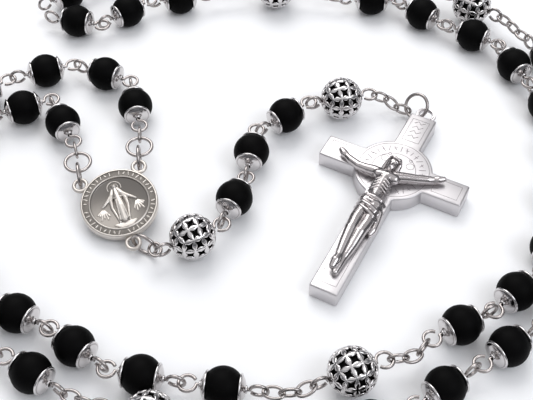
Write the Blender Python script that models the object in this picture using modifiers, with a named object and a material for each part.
"""A five-decade rosary laid out on a table, at real size.

Every chain starts at the round centre medal: a pendant with two Our Father balls, three Hail
Mary beads and the crucifix, and the two ends of the loop, one lying inside the other.
Lengths below are millimetres; objects are made in metres with +Z up and the table at z = 0.
"""
import math

import bmesh
import bpy
from mathutils import Matrix, Vector

MM = 0.001
UP = Vector((0, 0, 1))

# beads and their eye pins
BEAD_RADIUS = 4.0
BEAD_HEIGHT = 4.05
CORE_RADIUS = 3.3
CAGE_RADIUS = 4.95
CAGE_STRAND = 0.9
BORE_RADIUS = 0.6
CAP_GAP = 0.15
CAP_WALL = 0.25
CAP_ANGLES = (8, 25, 44)
PIN_WIRE = 0.36
EYE_RADIUS = 1.7
PIN_REACH = 8.45
EYE_ANGLES = (315, 240, 180, 120, 60, 0)

# chain links and jump rings: half length, half width and wire radius of the centre line
LINK = (2.0, 1.25, 0.33)
JUMP_RING = (2.8, 2.8, 0.40)
CROSS_RING_IN_LINK = 1.05
CROSS_RING_IN_EYELET = 0.55
CROSS_RING_LEAN = 52
WIRE_GAP = 0.25
MOST_SLACK = 1.45
BRIDGE_RADIUS = 0.28
BRIDGE_SINK = 0.07
RING_STEPS = 8

# centre medal
MEDAL_RADIUS = 8.35
MEDAL_THICKNESS = 2.0
MEDAL_FIELD_RADIUS = 6.3
MEDAL_RECESS = 0.45
MEDAL_CENTRE = Vector((-31.6, -4.3, 3.8))
MEDAL_TILT = 11
MEDAL_UP = 111
EAR_RADIUS = 1.4
EAR_WIRE = 0.5
EAR_REACH = 9.95
EAR_SPREAD = 42

# crucifix, in its own frame: x along the arms, y up the shaft, origin at the crossing
CROSS_CENTRE = Vector((28.1, 5.5, 0.0))
CROSS_TURN = -27.5
CROSS_THICKNESS = 4.0
SHAFT_WIDTH = 6.3
SHAFT_TOP = 18.3
SHAFT_BOTTOM = -36.4
ARM_REACH = 16.8
DISC_RADIUS = 8.7
EYELET_AT = 19.7
EYELET_RADIUS = 1.9
EYELET_WIRE = 0.45
EYELET_HEIGHT = 3.2
CROSS_BEVEL = 0.35
CORPUS_GAP = 0.3

# hand-chosen points that the ends of the pins and links lie towards, on the table
PENDANT_RUN = (
    ("ring", -23.3, -15.8, 4.1), ("link", -22.6, -19.6, 4.8),
    ("our_father", -9.9, -11.2, 5.2), ("hail_mary", -4.9, 1.8, 4.3),
    ("hail_mary", -2.4, 16.4, 4.3), ("hail_mary", 9.8, 25.4, 5.0),
    ("our_father", 24.6, 28.2, 5.0), ("link", 28.8, 27.6, 3.6),
    ("link", 30.8, 26.0, 2.4), ("link", 33.8, 25.6, 1.7),
)
INNER_RUN = (
    ("ring", -41.8, 6.6, 4.0), ("ring", -42.8, 11.2, 4.0), ("link", -44.0, 15.2, 4.1),
    ("hail_mary", -52.0, 29.4), ("hail_mary", -64.6, 21.4), ("hail_mary", -71.0, 9.0),
    ("hail_mary", -71.0, -5.5), ("hail_mary", -64.8, -17.8), ("hail_mary", -56.4, -27.4),
    ("hail_mary", -43.2, -35.4), ("hail_mary", -30.5, -44.5), ("hail_mary", -15.3, -47.7),
    ("hail_mary", 0.3, -49.6),
    ("link", 3.2, -50.2, 4.2), ("link", 6.0, -50.0, 4.8), ("link", 8.8, -48.9, 5.5),
    ("our_father", 22.9, -43.2, 5.1),
    ("link", 25.8, -42.8, 4.6), ("link", 28.5, -41.8, 4.2), ("link", 30.5, -39.5, 4.1),
    ("hail_mary", 43.4, -32.2), ("hail_mary", 54.7, -23.0), ("hail_mary", 61.4, -9.5),
    ("hail_mary", 66.0, 4.5), ("hail_mary", 67.3, 19.0), ("hail_mary", 62.9, 32.7),
    ("hail_mary", 57.0, 46.6), ("hail_mary", 44.8, 54.3), ("hail_mary", 33.5, 63.6),
    ("hail_mary", 19.1, 64.7),
    ("link", 16.0, 65.0, 4.2), ("link", 13.0, 66.0, 4.8), ("link", 10.5, 66.6, 5.5),
    ("our_father", -4.5, 67.0, 5.1),
    ("link", -7.3, 67.0, 4.6), ("link", -10.3, 66.5, 4.2), ("link", -13.2, 66.0, 4.1),
    ("hail_mary", -29.0, 63.5), ("hail_mary", -42.2, 54.2), ("hail_mary", -55.8, 57.4),
)
OUTER_RUN = (
    ("ring", -28.6, 11.0, 4.0), ("ring", -28.9, 15.8, 4.0), ("link", -29.2, 19.9, 4.1),
    ("hail_mary", -32.8, 34.6), ("hail_mary", -46.6, 39.4), ("hail_mary", -61.4, 34.6),
    ("hail_mary", -73.8, 24.4), ("hail_mary", -80.6, 9.8), ("hail_mary", -80.6, -6.2),
    ("hail_mary", -74.2, -21.0), ("hail_mary", -63.2, -32.0), ("hail_mary", -49.6, -42.4),
    ("hail_mary", -35.8, -51.0),
    ("link", -33.0, -52.2, 4.2), ("link", -30.2, -53.0, 4.8), ("link", -27.2, -53.8, 5.5),
    ("our_father", -11.4, -57.4, 5.1),
    ("link", -8.6, -57.6, 4.6), ("link", -5.6, -57.9, 4.2), ("link", -2.6, -58.1, 4.1),
    ("hail_mary", 13.2, -58.2), ("hail_mary", 27.8, -52.4), ("hail_mary", 41.4, -43.4),
    ("hail_mary", 53.9, -34.9), ("hail_mary", 66.2, -26.2), ("hail_mary", 72.4, -11.6),
    ("hail_mary", 75.6, 4.0), ("hail_mary", 76.2, 20.0), ("hail_mary", 72.6, 35.4),
    ("hail_mary", 64.4, 49.2),
    ("link", 62.6, 51.8, 4.2), ("link", 60.6, 54.2, 4.8), ("link", 58.4, 56.4, 5.5),
    ("our_father", 45.4, 65.8, 5.1),
    ("link", 42.6, 67.4, 4.6), ("link", 40.0, 68.8, 4.2), ("link", 37.2, 70.2, 4.1),
    ("hail_mary", 22.8, 76.6), ("hail_mary", 8.0, 79.8), ("hail_mary", -7.0, 80.8),
    ("hail_mary", -21.4, 80.0), ("hail_mary", -35.8, 79.6), ("hail_mary", -46.0, 70.6),
    ("hail_mary", -57.2, 62.4),
)
# the middle of the laid-out rosary, which becomes the origin
LAYOUT_MIDDLE = Vector((-2.328, 11.190, 0.0))

COLOURS = {
    "black_bead": ((0.006, 0.006, 0.007), 0.45, 0.0),
    "polished_steel": ((0.78, 0.76, 0.75), 0.12, 1.0),
    "chain_steel": ((0.62, 0.60, 0.58), 0.22, 1.0),
    "antique_silver": ((0.50, 0.49, 0.47), 0.30, 1.0),
    "satin_steel": ((0.80, 0.79, 0.80), 0.35, 1.0),
}


# ---------------------------------------------------------------- helpers

def clear_scene():
    for obj in list(bpy.data.objects):
        bpy.data.objects.remove(obj, do_unlink=True)


def new_collection(name):
    collection = bpy.data.collections.new(name)
    bpy.context.scene.collection.children.link(collection)
    return collection


def make_material(name):
    colour, roughness, metallic = COLOURS[name]
    material = bpy.data.materials.new(name)
    material.use_nodes = True
    shader = material.node_tree.nodes["Principled BSDF"]
    shader.inputs["Base Color"].default_value = (*colour, 1)
    shader.inputs["Roughness"].default_value = roughness
    shader.inputs["Metallic"].default_value = metallic
    return material


def evaluated_mesh(obj):
    """The object's shape with its modifiers, welded, as a plain mesh; the object is removed."""
    depsgraph = bpy.context.evaluated_depsgraph_get()
    mesh = bpy.data.meshes.new_from_object(obj.evaluated_get(depsgraph))
    mesh.transform(obj.matrix_world)
    bpy.data.objects.remove(obj, do_unlink=True)
    shape = bmesh.new()
    shape.from_mesh(mesh)
    bmesh.ops.remove_doubles(shape, verts=shape.verts, dist=1e-7)
    bmesh.ops.recalc_face_normals(shape, faces=shape.faces)
    shape.to_mesh(mesh)
    shape.free()
    return mesh


def temporary(data, name="temporary"):
    obj = bpy.data.objects.new(name, data)
    bpy.context.scene.collection.objects.link(obj)
    return obj


def wire_mesh(points, radius, closed):
    """A wire of four-sided section through the points."""
    curve = bpy.data.curves.new("wire", "CURVE")
    curve.dimensions = "3D"
    curve.bevel_depth = radius * MM
    curve.bevel_resolution = 0
    curve.use_fill_caps = not closed
    spline = curve.splines.new("POLY")
    spline.points.add(len(points) - 1)
    for target, point in zip(spline.points, points):
        target.co = (*(Vector(point) * MM), 1)
    spline.use_cyclic_u = closed
    return evaluated_mesh(temporary(curve))


def lathe_mesh(profile, steps, closed):
    """A turned shape about Z from (radius, height) points listed down its outer side."""
    mesh = bpy.data.meshes.new("profile")
    count = len(profile)
    edges = [(i, (i + 1) % count) for i in range(count if closed else count - 1)]
    mesh.from_pydata([(r * MM, 0, z * MM) for r, z in profile], edges, [])
    obj = temporary(mesh)
    screw = obj.modifiers.new("turn", "SCREW")
    screw.steps = steps
    screw.render_steps = steps
    screw.use_merge_vertices = True
    screw.merge_threshold = 1e-6
    return evaluated_mesh(obj)


def ball_mesh(radius, segments, rings):
    shape = bmesh.new()
    bmesh.ops.create_uvsphere(shape, u_segments=segments, v_segments=rings, radius=radius * MM)
    mesh = bpy.data.meshes.new("ball")
    shape.to_mesh(mesh)
    shape.free()
    return mesh


def placed(mesh, matrix):
    """A copy of a mesh (in metres) moved by a matrix whose translation is in millimetres."""
    copy = mesh.copy()
    metres = matrix.copy()
    metres.translation = matrix.translation * MM
    copy.transform(metres)
    return copy


def union_mesh(meshes):
    """One closed body from overlapping meshes."""
    base = temporary(meshes[0], "base")
    operands = bpy.data.collections.new("operands")
    others = [bpy.data.objects.new("operand", mesh) for mesh in meshes[1:]]
    for obj in others:
        operands.objects.link(obj)
    boolean = base.modifiers.new("join", "BOOLEAN")
    boolean.operation = "UNION"
    boolean.solver = "EXACT"
    boolean.operand_type = "COLLECTION"
    boolean.collection = operands
    mesh = evaluated_mesh(base)
    for obj in others:
        bpy.data.objects.remove(obj, do_unlink=True)
    bpy.data.collections.remove(operands)
    return mesh


def add_piece(name, mesh, pivot, material, collection):
    """A named object with its origin on the joint that carries it."""
    origin = (pivot - LAYOUT_MIDDLE) * MM
    mesh.transform(Matrix.Translation(-pivot * MM))
    mesh.name = name
    mesh.materials.clear()
    mesh.materials.append(material)
    mesh.shade_smooth()
    mesh.set_sharp_from_angle(angle=math.radians(35))
    obj = bpy.data.objects.new(name, mesh)
    obj.location = origin
    collection.objects.link(obj)
    return obj


# ---------------------------------------------------------------- shapes of the small pieces

def pin_mesh():
    """An eye pin along X: an upright eye at the start and a flat eye at the end."""
    eye_at = PIN_REACH - EYE_RADIUS
    turns = [math.radians(a) for a in EYE_ANGLES]
    start = [(-eye_at + EYE_RADIUS * math.cos(a), 0, EYE_RADIUS * math.sin(a)) for a in turns]
    end = [(eye_at - EYE_RADIUS * math.cos(a), EYE_RADIUS * math.sin(a), 0)
           for a in reversed(turns)]
    return wire_mesh(start + end, PIN_WIRE, closed=False)


def bridge_mesh(near, far):
    """A short bar between two ring wires, sunk a little into both."""
    sink = (far - near).normalized() * BRIDGE_SINK
    return wire_mesh([near - sink, far + sink], BRIDGE_RADIUS, closed=False)


def link_mesh(size):
    """An upright oval ring, long along X."""
    half_length, half_width, wire = size
    turns = [2 * math.pi * i / RING_STEPS for i in range(RING_STEPS)]
    points = [(half_length * math.cos(a), 0, half_width * math.sin(a)) for a in turns]
    return wire_mesh(points, wire, closed=True)


def bored_ball_mesh(radius, steps, rings):
    """A ball with a bore along Z for its pin."""
    first = math.asin(BORE_RADIUS / radius)
    turns = [first + (math.pi - 2 * first) * i / rings for i in range(rings + 1)]
    return lathe_mesh([(radius * math.sin(a), radius * math.cos(a)) for a in turns], steps, True)


def cap_mesh(steps):
    """A domed bead cap about +Z that stands clear of the bead."""
    inner = BEAD_RADIUS + CAP_GAP
    outer = inner + CAP_WALL
    turns = [math.radians(a) for a in CAP_ANGLES]
    top = [(outer * math.sin(a), outer * math.cos(a)) for a in turns]
    under = [(inner * math.sin(a), inner * math.cos(a)) for a in reversed(turns)]
    return lathe_mesh(top + under, steps, True)


def cage_mesh():
    """A lattice ball with an opening facing each way along X for the pin."""
    shape = bmesh.new()
    bmesh.ops.create_icosphere(shape, subdivisions=1, radius=CAGE_RADIUS * MM)
    shape.faces.ensure_lookup_table()
    turn = shape.faces[0].normal.rotation_difference(Vector((1, 0, 0))).to_matrix()
    bmesh.ops.rotate(shape, verts=shape.verts, matrix=turn)
    mesh = bpy.data.meshes.new("cage")
    shape.to_mesh(mesh)
    shape.free()
    obj = temporary(mesh)
    lattice = obj.modifiers.new("lattice", "WIREFRAME")
    lattice.thickness = CAGE_STRAND * MM
    lattice.offset = -1
    return evaluated_mesh(obj)


# ---------------------------------------------------------------- layout of the chains

def chain_units(run, start, heading, wire, roll):
    """Lay the units of a run one after another, each pointing at its own aim.

    start, heading, wire and roll describe the ring that the run hangs from: the middle of its
    far wire, the way it points, its wire radius, and its turn about the chain (0 is upright).
    """
    units = []
    at = start
    for kind, *aim in run:
        target = Vector((aim[0], aim[1], aim[2] if len(aim) == 3 else BEAD_HEIGHT))
        roll = (roll + 90) % 180
        is_pin = kind in ("our_father", "hail_mary")
        if is_pin:
            reach, own_wire = PIN_REACH, PIN_WIRE
        else:
            reach, _, own_wire = JUMP_RING if kind == "ring" else LINK
        # the own wire lies inside the ring before it, clear of its end by the slack the aim leaves
        touching = wire + own_wire + WIRE_GAP
        slack = min(max(2 * reach - (target - at).length - touching, 0), MOST_SLACK)
        along = heading if roll == 0 else (target - at).normalized()
        near = at - along * (touching + (slack if is_pin and wire == PIN_WIRE else 0))
        heading = (target - near).normalized()
        end = near + heading * 2 * reach
        # the joint lies in whichever of the two wires is level across the chain
        units.append({"kind": kind, "start": at, "end": end, "centre": (near + end) / 2,
                      "near": near, "heading": heading, "roll": roll,
                      "pivot": at if roll == 0 else near})
        at, wire = end, own_wire
        roll = (roll + 90) % 180 if is_pin else roll
    return units


def unit_frame(unit):
    """The unit's own frame: X along the chain, turned about it by its roll."""
    x_axis = unit["heading"]
    y_axis = UP.cross(x_axis).normalized()
    z_axis = x_axis.cross(y_axis)
    turn = Matrix((x_axis, y_axis, z_axis)).transposed().to_4x4()
    roll = Matrix.Rotation(math.radians(unit["roll"]), 4, "X")
    return Matrix.Translation(unit["centre"]) @ turn @ roll


def medal_frame():
    """The medal's frame: Y towards its two upper ears, Z out of its face."""
    tilt = Matrix.Rotation(math.radians(MEDAL_TILT), 4, "X")
    turn = Matrix.Rotation(math.radians(MEDAL_UP - 90), 4, "Z")
    return Matrix.Translation(MEDAL_CENTRE) @ tilt @ turn


def ear_point(angle):
    """Where an ear's centre lies in the medal's frame, from the angle to its Y axis."""
    turn = math.radians(angle)
    return Vector((-EAR_REACH * math.sin(turn), EAR_REACH * math.cos(turn), 0))


def ear_start(angle, aim):
    """The middle of an ear's wire on the side that its chain leaves from, and that way."""
    frame = medal_frame()
    centre = frame @ ear_point(angle)
    face = frame.to_3x3() @ UP
    away = Vector(aim[1:4]) - centre
    away = (away - face * away.dot(face)).normalized()
    return centre + away * EAR_RADIUS, away


def layout():
    """All units of the three chains; the medal's ears count as flat rings."""
    starts = {"pendant": (180, PENDANT_RUN), "inner": (EAR_SPREAD, INNER_RUN),
              "outer": (-EAR_SPREAD, OUTER_RUN)}
    return {name: chain_units(run, *ear_start(angle, run[0]), EAR_WIRE, 90)
            for name, (angle, run) in starts.items()}


def cross_frame():
    turn = Matrix.Rotation(math.radians(CROSS_TURN), 4, "Z")
    return Matrix.Translation(CROSS_CENTRE) @ turn


def eyelet_centre():
    return cross_frame() @ Vector((0, EYELET_AT, EYELET_HEIGHT))


def cross_ring_frame(last_link):
    """The crucifix's jump ring, leaning back between the last link and the eyelet.

    X runs from the point inside the link to the point inside the eyelet; Y is the ring's axis.
    """
    in_link = last_link["end"] - last_link["heading"] * CROSS_RING_IN_LINK
    towards = eyelet_centre() - in_link
    towards.z = 0
    in_eyelet = eyelet_centre() - towards.normalized() * CROSS_RING_IN_EYELET
    chord = in_eyelet - in_link
    x_axis = chord.normalized()
    lean = math.radians(CROSS_RING_LEAN)
    z_axis = Vector((0, math.sin(lean), math.cos(lean)))
    z_axis = (z_axis - x_axis * z_axis.dot(x_axis)).normalized()
    rise = math.sqrt(JUMP_RING[0] ** 2 - (chord.length / 2) ** 2)
    centre = (in_link + in_eyelet) / 2 + z_axis * rise
    turn = Matrix((x_axis, z_axis.cross(x_axis), z_axis)).transposed().to_4x4()
    return Matrix.Translation(centre) @ turn, in_link, in_eyelet


# ---------------------------------------------------------------- the pieces

def build_medal(materials, collection):
    half = MEDAL_THICKNESS / 2
    field = half - MEDAL_RECESS
    profile = [(0, field), (MEDAL_FIELD_RADIUS, field), (MEDAL_FIELD_RADIUS + 0.3, half),
               (MEDAL_RADIUS - 0.25, half), (MEDAL_RADIUS, half - 0.25),
               (MEDAL_RADIUS, 0.25 - half), (MEDAL_RADIUS - 0.25, -half), (0, -half)]
    disc = lathe_mesh(profile, 32, False)
    turns = [2 * math.pi * i / RING_STEPS for i in range(RING_STEPS)]
    ring = wire_mesh([(EAR_RADIUS * math.cos(a), EAR_RADIUS * math.sin(a), 0) for a in turns],
                     EAR_WIRE, closed=True)
    ears = [placed(ring, Matrix.Translation(ear_point(a)))
            for a in (EAR_SPREAD, -EAR_SPREAD, 180)]
    mesh = placed(union_mesh([disc] + ears), medal_frame())
    add_piece("centre_medal", mesh, MEDAL_CENTRE, materials["antique_silver"], collection)


def build_pin_bead(name, unit, meshes, materials, collection):
    """A pendant bead: its pin, and what turns on the pin, each its own piece."""
    frame = unit_frame(unit)
    lengthwise = frame @ Matrix.Rotation(math.pi / 2, 4, "Y")
    flipped = frame @ Matrix.Rotation(-math.pi / 2, 4, "Y")
    add_piece(name + "_pin", placed(meshes["pin"], frame), unit["pivot"],
              materials["chain_steel"], collection)
    centre = unit["centre"]
    if unit["kind"] == "our_father":
        add_piece(name + "_core", placed(meshes["core"], lengthwise), centre,
                  materials["black_bead"], collection)
        add_piece(name + "_cage", placed(meshes["cage"], frame), centre,
                  materials["polished_steel"], collection)
        return
    add_piece(name + "_bead", placed(meshes["bead"], lengthwise), centre,
              materials["black_bead"], collection)
    add_piece(name + "_cap_1", placed(meshes["cap"], flipped), centre,
              materials["polished_steel"], collection)
    add_piece(name + "_cap_2", placed(meshes["cap"], lengthwise), centre,
              materials["polished_steel"], collection)


def build_link(name, unit, meshes, materials, collection):
    mesh = placed(meshes[unit["kind"]], unit_frame(unit))
    add_piece(name, mesh, unit["pivot"], materials["chain_steel"], collection)


def build_segment(name, units, meshes, materials, collection):
    """Neighbouring units as one solid, joined by a short bar where their rings meet."""
    solids = []
    for unit in units:
        frame = unit_frame(unit)
        if unit is not units[0]:
            solids.append(bridge_mesh(unit["near"], unit["start"]))
        if unit["kind"] in ("hail_mary", "our_father"):
            solids.append(placed(meshes[unit["kind"] + "_solid"], frame))
            solids.append(placed(meshes["pin"], frame))
        else:
            solids.append(placed(meshes[unit["kind"]], frame))
    colour = "black_bead" if units[0]["kind"] == "hail_mary" else "chain_steel"
    add_piece(name, union_mesh(solids), units[0]["pivot"], materials[colour], collection)


def cross_outline():
    """The right half of the cross's outline, from the top end down to the foot."""
    half = SHAFT_WIDTH / 2
    corner = math.asin(half / DISC_RADIUS)
    upper = [math.pi / 2 - corner - (math.pi / 2 - 2 * corner) * i / 4 for i in range(5)]
    disc_top = [(DISC_RADIUS * math.cos(a), DISC_RADIUS * math.sin(a)) for a in upper]
    disc_foot = [(x, -y) for x, y in reversed(disc_top)]
    return ([(half, SHAFT_TOP)] + disc_top + [(ARM_REACH, half), (ARM_REACH, -half)]
            + disc_foot + [(half, SHAFT_BOTTOM)])


def build_cross(pivot, materials, collection):
    half = cross_outline()
    outline = half + [(-x, y) for x, y in reversed(half)]
    face = bpy.data.meshes.new("cross")
    face.from_pydata([(x * MM, y * MM, 0) for x, y in outline], [], [range(len(outline))])
    obj = temporary(face)
    thick = obj.modifiers.new("thick", "SOLIDIFY")
    thick.thickness = CROSS_THICKNESS * MM
    thick.offset = 0
    bevel = obj.modifiers.new("soft_edges", "BEVEL")
    bevel.width = CROSS_BEVEL * MM
    bevel.segments = 1
    plate = placed(evaluated_mesh(obj), Matrix.Translation((0, 0, CROSS_THICKNESS / 2)))
    turns = [2 * math.pi * i / 12 for i in range(12)]
    eyelet = wire_mesh([(EYELET_RADIUS * math.cos(a), EYELET_AT + EYELET_RADIUS * math.sin(a),
                         EYELET_HEIGHT) for a in turns], EYELET_WIRE, closed=True)
    mesh = placed(union_mesh([plate, eyelet]), cross_frame())
    add_piece("cross_body", mesh, pivot, materials["satin_steel"], collection)


def build_corpus(pivot, materials, collection):
    """A plain figure on the cross: a skin over a stick skeleton (x, y, z, radius)."""
    joints = {
        "hips": (0.1, -13.6, 1.9, 2.0), "waist": (-0.2, -10.2, 1.8, 1.6),
        "chest": (-0.1, -6.8, 2.1, 2.0), "neck": (0.0, -3.9, 2.2, 1.0),
        "head": (-0.2, -1.3, 2.4, 1.5), "crown": (-0.2, 0.3, 2.4, 1.3),
        "knee": (0.0, -21.0, 2.5, 1.7), "ankle": (0.0, -28.0, 1.7, 1.2),
        "toe": (0.0, -31.0, 1.6, 1.1),
        "left_shoulder": (-3.0, -4.3, 1.9, 1.1), "left_elbow": (-7.0, -3.8, 1.5, 0.8),
        "left_hand": (-11.8, -1.4, 1.3, 0.75),
        "right_shoulder": (2.9, -3.2, 1.9, 1.1), "right_elbow": (6.3, -1.5, 1.5, 0.8),
        "right_hand": (10.9, 1.3, 1.3, 0.75),
    }
    bones = [("hips", "waist"), ("waist", "chest"), ("chest", "neck"), ("neck", "head"),
             ("head", "crown"), ("hips", "knee"), ("knee", "ankle"), ("ankle", "toe")]
    for side in ("left", "right"):
        bones += [("chest", side + "_shoulder"), (side + "_shoulder", side + "_elbow"),
                  (side + "_elbow", side + "_hand")]
    names = list(joints)
    mesh = bpy.data.meshes.new("corpus")
    mesh.from_pydata([Vector(joints[n][:3]) * MM for n in names],
                     [(names.index(a), names.index(b)) for a, b in bones], [])
    obj = temporary(mesh)
    obj.modifiers.new("skin", "SKIN")
    smooth = obj.modifiers.new("smooth", "SUBSURF")
    smooth.levels = 1
    smooth.render_levels = 1
    for skin, name in zip(mesh.skin_vertices[0].data, names):
        skin.radius = (joints[name][3] * MM, joints[name][3] * MM)
        skin.use_root = name == "hips"
    lift = Matrix.Translation((0, 0, CROSS_THICKNESS + CORPUS_GAP))
    mesh = placed(evaluated_mesh(obj), cross_frame() @ lift)
    add_piece("corpus", mesh, pivot, materials["polished_steel"], collection)


def segment_plan(chains):
    """Names of the loop's solids with the units that each one holds."""
    plan = []
    for chain, decades in (("inner", (1, 2, 3)), ("outer", (5, 4, 3))):
        units = chains[chain]
        plan.append((chain + "_ear_links", units[:3]))
        at = 3
        for place, decade in enumerate(decades):
            beads = 10 if place < 2 else len(units) - at
            for first in range(0, beads, 2):
                name = "decade_%d_%s_beads_%d" % (decade, chain, first // 2 + 1)
                plan.append((name, units[at + first:at + min(first + 2, beads)]))
            at += beads
            if place < 2:
                name = "our_father_%s_%d_with_links" % (chain, place + 1)
                plan.append((name, units[at:at + 7]))
                at += 7
    return plan


PENDANT_NAMES = ("medal_jump_ring", "medal_link", "our_father_a", "hail_mary_a", "hail_mary_b",
                 "hail_mary_c", "our_father_b", "crucifix_link_1", "crucifix_link_2",
                 "crucifix_link_3")


def main():
    clear_scene()
    collection = new_collection("rosary")
    materials = {name: make_material(name) for name in COLOURS}
    meshes = {
        "pin": pin_mesh(), "link": link_mesh(LINK), "ring": link_mesh(JUMP_RING),
        "cap": cap_mesh(10), "bead": bored_ball_mesh(BEAD_RADIUS, 10, 6),
        "core": bored_ball_mesh(CORE_RADIUS, 10, 5), "cage": cage_mesh(),
        "hail_mary_solid": ball_mesh(BEAD_RADIUS, 8, 6),
        "our_father_solid": ball_mesh(CAGE_RADIUS, 8, 6),
    }
    chains = layout()
    build_medal(materials, collection)
    for name, unit in zip(PENDANT_NAMES, chains["pendant"]):
        if unit["kind"] in ("our_father", "hail_mary"):
            build_pin_bead(name, unit, meshes, materials, collection)
        else:
            build_link(name, unit, meshes, materials, collection)
    ring_frame, in_link, in_eyelet = cross_ring_frame(chains["pendant"][-1])
    add_piece("crucifix_jump_ring", placed(link_mesh(JUMP_RING), ring_frame), in_link,
              materials["chain_steel"], collection)
    build_cross(in_eyelet, materials, collection)
    build_corpus(in_eyelet, materials, collection)
    for name, units in segment_plan(chains):
        build_segment(name, units, meshes, materials, collection)
    for mesh in [m for m in bpy.data.meshes if m.users == 0]:
        bpy.data.meshes.remove(mesh)


if __name__ == "__main__":
    main()
